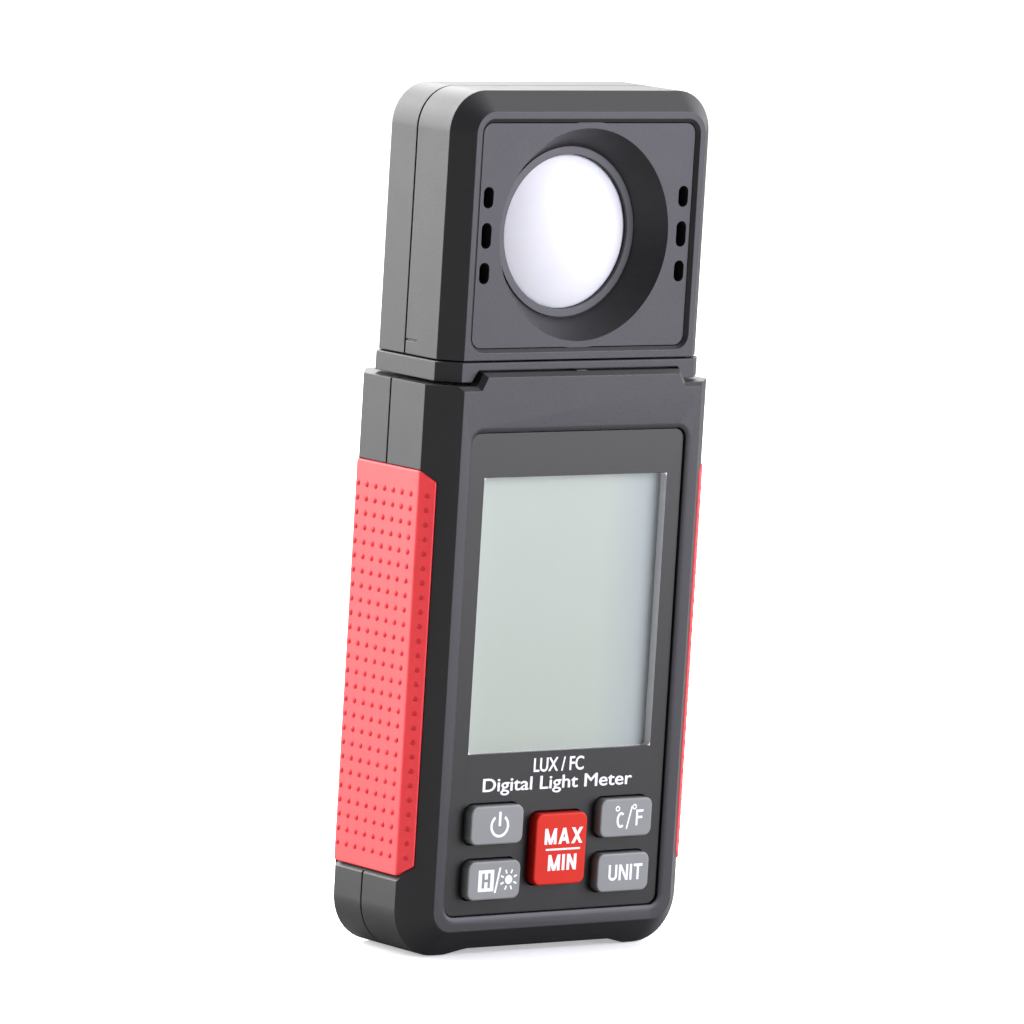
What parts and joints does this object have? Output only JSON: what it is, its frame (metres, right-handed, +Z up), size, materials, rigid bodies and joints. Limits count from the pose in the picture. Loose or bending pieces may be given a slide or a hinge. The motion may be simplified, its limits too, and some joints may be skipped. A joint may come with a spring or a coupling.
{
  "type": "handheld light meter",
  "caption": "Handheld light meter with a tall display, soft keys, studded side grips and a sensor head that swivels on its neck. The battery door lifts off.",
  "frame": {"origin": "centre of the base, with the feet at z 0 and the keys' faces and the back face equally far away", "axes": "+Z up the meter to the top of the sensor head, +Y out of the back, so the display faces -Y"},
  "size_m": [0.065, 0.0306, 0.1552],
  "materials": {
    "body_plastic": "fine satin texture",
    "panel_plastic": "smooth satin",
    "bezel_plastic": "fine satin texture",
    "ring_plastic": "satin",
    "grip_rubber": "soft, with small raised studs",
    "key_grey": "satin",
    "key_red": "satin",
    "clear_window": "polished",
    "lcd": "smooth pale grey-green",
    "lcd_frame": "matt",
    "diffuser_white": "translucent white",
    "silicone": "matt",
    "circuit_board": "lacquered",
    "component_black": "matt",
    "steel": "plated",
    "battery_case": "printed wrap",
    "brass": "turned",
    "filter_glass": "polished",
    "lead_sheath": "matt",
    "socket_ivory": "matt"
  },
  "bodies": {
    "housing": {"front_shell": "body_plastic", "rear_shell": "body_plastic", "left_grip": "grip_rubber", "right_grip": "grip_rubber", "neck_collar": "body_plastic", "front_panel": "panel_plastic", "display_lens": "clear_window", "lcd_bezel": "lcd_frame", "lcd_glass": "lcd", "backlight_plate": "diffuser_white", "lcd_connector": "silicone", "main_board": "circuit_board", "board_chips": "component_black", "buzzer": "component_black", "key_mat": "silicone", "key_switches": "steel", "board_screws": "steel", "case_screws": "steel", "battery_left": "battery_case", "battery_middle": "battery_case", "battery_right": "battery_case", "battery_springs": "steel", "battery_contacts": "steel", "tripod_bush": "brass", "sensor_lead_lower": "lead_sheath", "lead_socket": "socket_ivory"},
    "sensor_head": {"head_front_shell": "body_plastic", "head_rear_shell": "body_plastic", "sensor_bezel": "bezel_plastic", "dome_ring": "ring_plastic", "diffuser_dome": "diffuser_white", "colour_filter": "filter_glass", "photodiode": "component_black", "sensor_board": "circuit_board", "thermistor": "component_black", "head_screws": "steel", "swivel_shaft": "steel", "swivel_washer": "steel", "swivel_clip": "steel", "sensor_lead_upper": "lead_sheath"},
    "battery_cover": {"battery_door": "body_plastic", "door_screw": "steel"},
    "power_key": {"key_power": "key_grey", "plunger_power": "component_black"},
    "hold_key": {"key_hold": "key_grey", "plunger_hold": "component_black"},
    "maxmin_key": {"key_maxmin": "key_red", "plunger_maxmin": "component_black"},
    "temp_key": {"key_temp": "key_grey", "plunger_temp": "component_black"},
    "unit_key": {"key_unit": "key_grey", "plunger_unit": "component_black"}
  },
  "joints": [
    {"name": "head_swivel", "type": "hinge", "parent": "housing", "child": "sensor_head", "pos_m": [0, 0, 0.1071], "axis": [0, 0, 1], "range_deg": [-90, 180]},
    {"name": "battery_door_lift", "type": "slide", "parent": "housing", "child": "battery_cover", "axis": [0, 1, 0], "range_m": [0, 0.02]},
    {"name": "power_key_press", "type": "slide", "parent": "housing", "child": "power_key", "axis": [0, 1, 0], "range_m": [0, 0.0007], "stiffness_N_per_m": 500, "springref_m": -0.0003},
    {"name": "hold_key_press", "type": "slide", "parent": "housing", "child": "hold_key", "axis": [0, 1, 0], "range_m": [0, 0.0007], "stiffness_N_per_m": 500, "springref_m": -0.0003},
    {"name": "maxmin_key_press", "type": "slide", "parent": "housing", "child": "maxmin_key", "axis": [0, 1, 0], "range_m": [0, 0.0007], "stiffness_N_per_m": 500, "springref_m": -0.0003},
    {"name": "temp_key_press", "type": "slide", "parent": "housing", "child": "temp_key", "axis": [0, 1, 0], "range_m": [0, 0.0007], "stiffness_N_per_m": 500, "springref_m": -0.0003},
    {"name": "unit_key_press", "type": "slide", "parent": "housing", "child": "unit_key", "axis": [0, 1, 0], "range_m": [0, 0.0007], "stiffness_N_per_m": 500, "springref_m": -0.0003}
  ]
}
